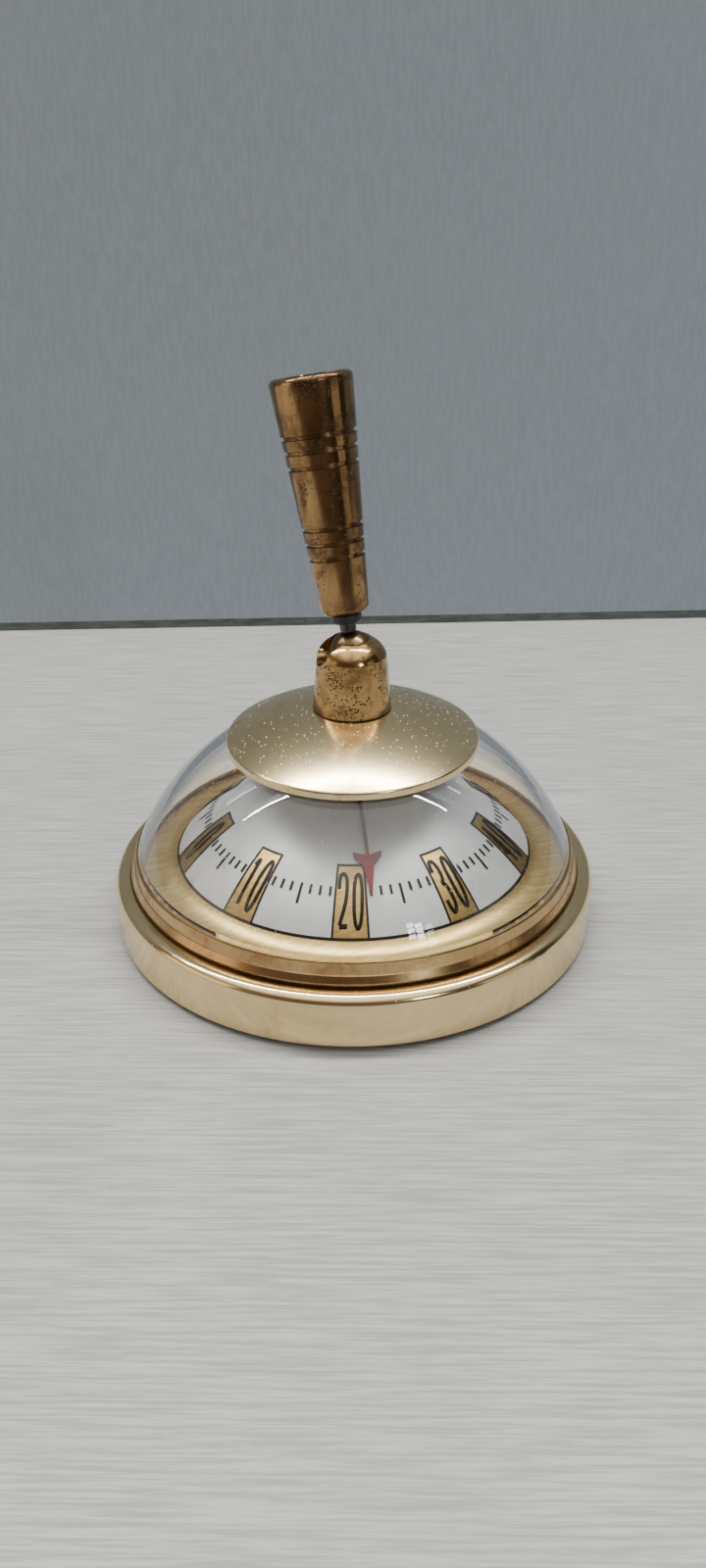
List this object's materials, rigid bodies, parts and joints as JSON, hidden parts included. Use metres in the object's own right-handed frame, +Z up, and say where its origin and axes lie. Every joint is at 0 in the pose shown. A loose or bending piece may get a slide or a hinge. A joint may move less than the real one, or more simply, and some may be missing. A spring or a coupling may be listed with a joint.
{
  "type": "desk thermometer with pen funnel",
  "caption": "Brass desk thermometer: domed dial and red hand under a clear dome, with a tapered pen funnel on a slotted ball swivel on top.",
  "frame": {"origin": "centre of the pad underside, on the table", "axes": "+Z up; -Y is the front, where the scale shows 20; +X to the right seen from the front"},
  "size_m": [0.108, 0.108, 0.1201],
  "materials": {
    "pad_rubber": "matt black non-slip sheet",
    "plate_steel": "plain zinc-plated steel",
    "screw_steel": "bright screw steel",
    "ballast_iron": "raw casting",
    "skirt_brass": "polished and lacquered, pale champagne gold",
    "bezel_brass": "satin turned",
    "dial_sheet": "straight-grain brushed brass with a silver-white lacquered field",
    "clear_dome": "clear, lightly dusty",
    "gasket_rubber": "soft black",
    "cushion_fibre": "brown fibre",
    "cap_brass": "polished pale gold with fine dust",
    "cup_brass": "polished, heavily pitted and tarnished",
    "socket_steel": "spring steel",
    "seat_plastic": "natural acetal",
    "ball_brass": "dark tarnished brass",
    "stem_steel": "blackened steel",
    "collar_black": "black",
    "funnel_brass": "aged brown patina over polish",
    "liner_plastic": "black",
    "movement_brass": "plain",
    "bimetal": "rolled strip",
    "hand_red": "red enamel, worn dark along the shaft"
  },
  "bodies": {
    "base": {"base_pad": "pad_rubber", "base_plate": "plate_steel", "base_screws": "screw_steel", "ballast_screws": "screw_steel", "shell_pillars": "movement_brass", "ballast": "ballast_iron", "base_shell": "skirt_brass", "bezel_ring": "bezel_brass", "dial_plate": "dial_sheet", "dome_gasket": "gasket_rubber", "crystal_dome": "clear_dome", "cushion_washer": "cushion_fibre", "cap_disc": "cap_brass", "movement_frame": "plate_steel", "frame_pillars": "movement_brass", "frame_screws": "screw_steel", "lower_bearing": "movement_brass", "dial_bush": "movement_brass", "anchor_post": "movement_brass", "bimetal_coil": "bimetal"},
    "pointer": {"arbor": "screw_steel", "coil_collet": "movement_brass", "hand_hub": "movement_brass", "hand": "hand_red"},
    "socket": {"socket_cup": "cup_brass", "socket_plug": "socket_steel", "disc_springs": "socket_steel", "ball_seat": "seat_plastic", "socket_stud": "socket_steel", "stud_nut": "socket_steel", "spring_washer": "socket_steel"},
    "ball": {"swivel_ball": "ball_brass"},
    "funnel": {"stem": "stem_steel", "lock_collar": "collar_black", "pen_funnel": "funnel_brass", "funnel_liner": "liner_plastic"}
  },
  "joints": [
    {"name": "hand_turn", "type": "hinge", "parent": "base", "child": "pointer", "pos_m": [0, 0, 0.035], "axis": [0, 0, 1], "range_deg": [-153.3, 138.7], "stiffness_Nm_per_rad": 0.0001, "deforming": ["bimetal_coil"]},
    {"name": "socket_turn", "type": "hinge", "parent": "base", "child": "socket", "pos_m": [0, 0, 0.055], "axis": [0, 0, 1], "continuous": true},
    {"name": "pen_tilt", "type": "hinge", "parent": "socket", "child": "ball", "pos_m": [0, 0, 0.06309], "axis": [0.2534, -0.9458, 0.2033], "range_deg": [-22, 72]},
    {"name": "funnel_spin", "type": "hinge", "parent": "ball", "child": "funnel", "pos_m": [0, 0, 0.06309], "axis": [-0.1405, 0.1719, 0.975], "continuous": true}
  ]
}
